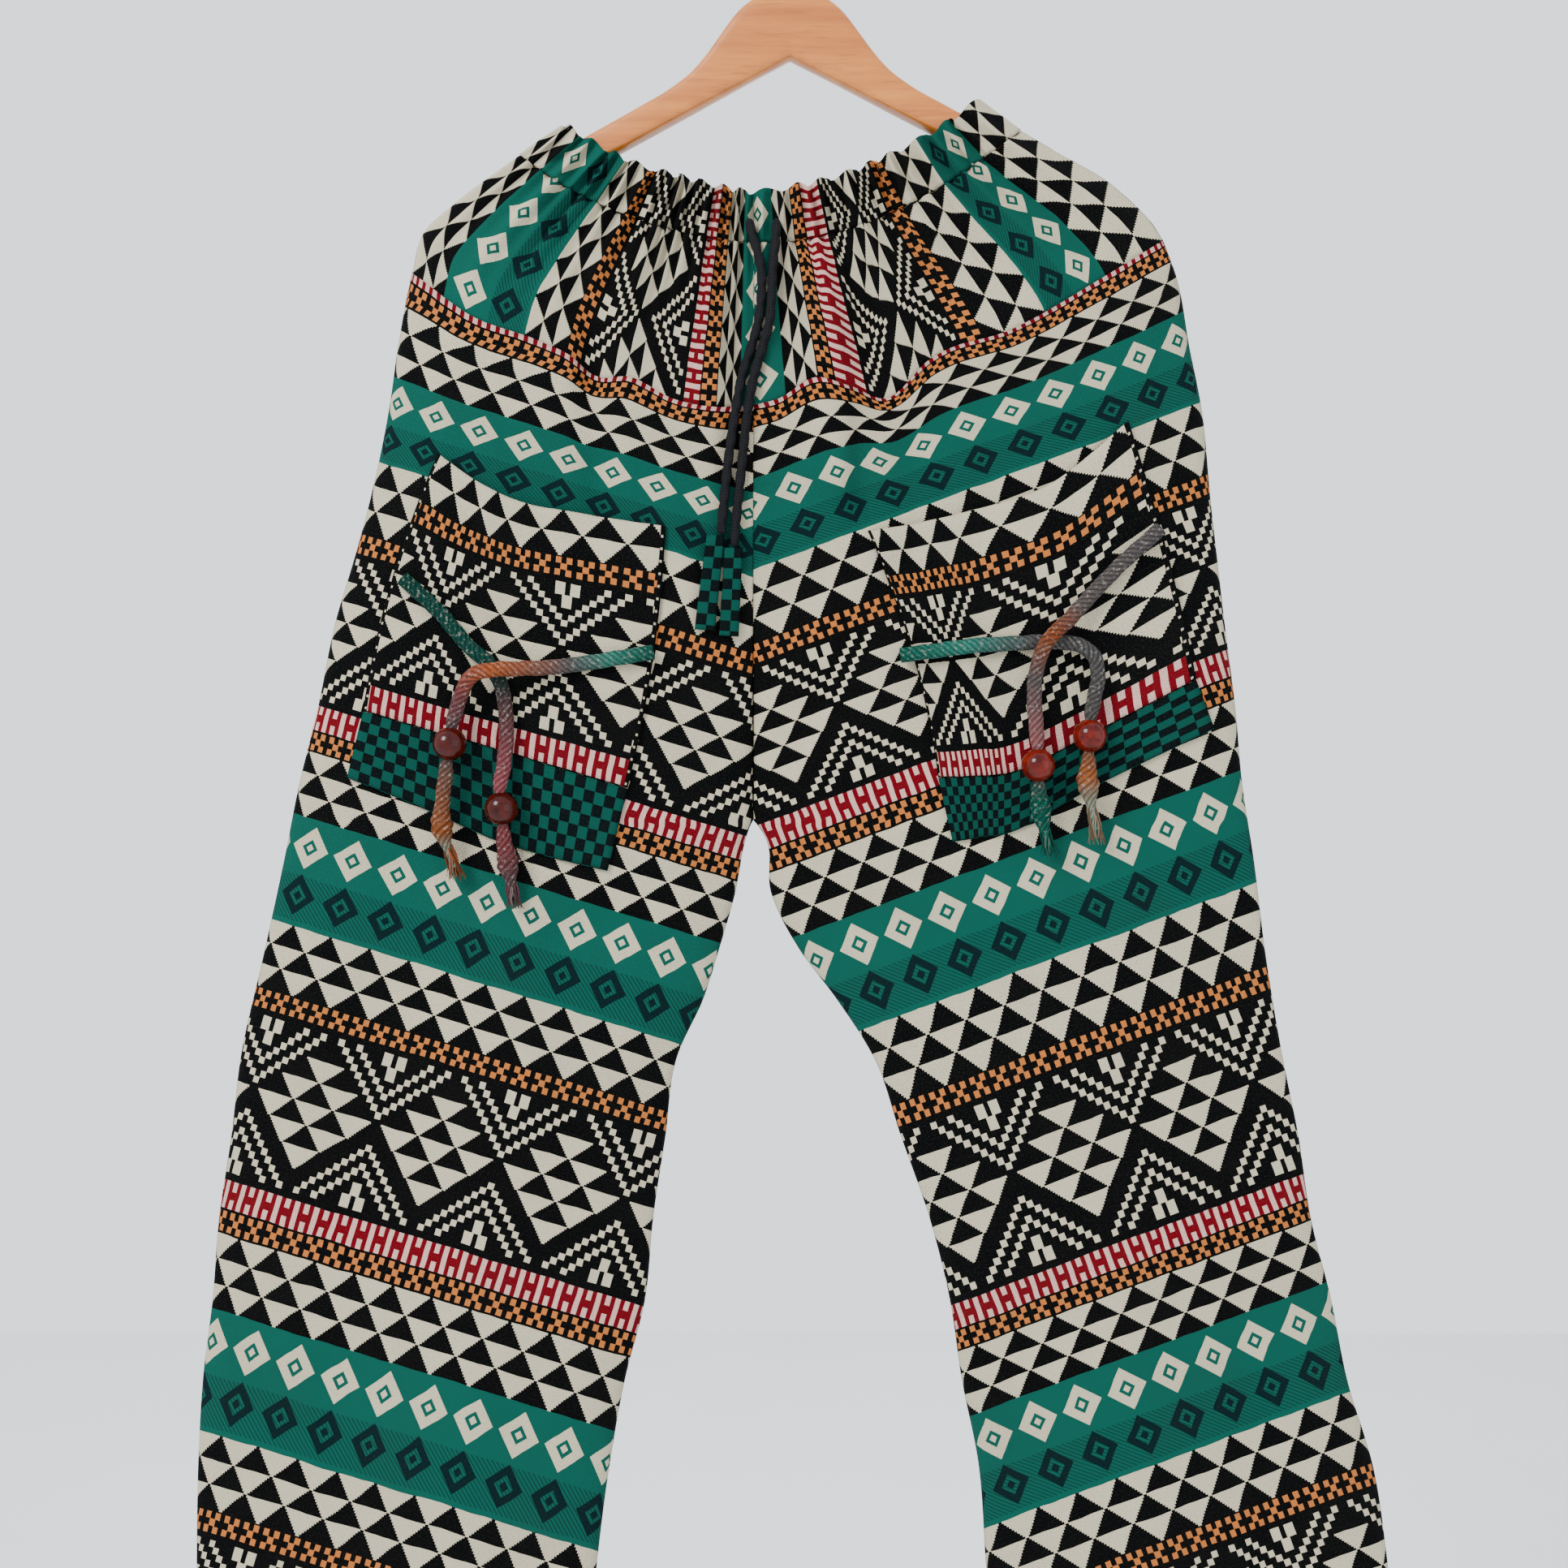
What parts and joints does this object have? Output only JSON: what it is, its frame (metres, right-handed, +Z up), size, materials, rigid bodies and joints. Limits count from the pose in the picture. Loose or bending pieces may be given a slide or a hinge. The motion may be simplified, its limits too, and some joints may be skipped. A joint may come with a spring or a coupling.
{
  "type": "drawstring trousers on a hanger",
  "caption": "Loose wool trousers with a gathered drawstring waist, patch pockets and beaded ties, hung on a wooden hanger with a wire hook.",
  "frame": {"origin": "inner top of the hanger's hook, where a rail holds it", "axes": "+Z up, -Y towards the front of the trousers, +X to the right as seen from the front"},
  "size_m": [0.752, 0.0729, 1.1885],
  "materials": {
    "cloth": "matte patterned wool",
    "strip": "matte checked wool",
    "tie": "matte space-dyed wool",
    "braid": "matte braid",
    "bead": "glossy",
    "hanger": "varnished",
    "hook": "polished"
  },
  "bodies": {
    "root": {"bead_left_inner": "bead", "bead_left_outer": "bead", "bead_right_inner": "bead", "bead_right_outer": "bead", "casing_back": "cloth", "casing_front": "cloth", "drawstring_left": "braid", "drawstring_right": "braid", "drawstring_tab_left": "strip", "drawstring_tab_right": "strip", "hanger_hook": "hook", "hanger_wood": "hanger", "leg_back_left": "cloth", "leg_back_right": "cloth", "leg_front_left": "cloth", "leg_front_right": "cloth", "pocket_left": "cloth", "pocket_right": "cloth", "pocket_strip_left": "strip", "pocket_strip_right": "strip", "tie_left_inner": "tie", "tie_left_outer": "tie", "tie_right_inner": "tie", "tie_right_outer": "tie", "yoke_back_left": "cloth", "yoke_back_right": "cloth", "yoke_front_left": "cloth", "yoke_front_right": "cloth"}
  },
  "joints": []
}
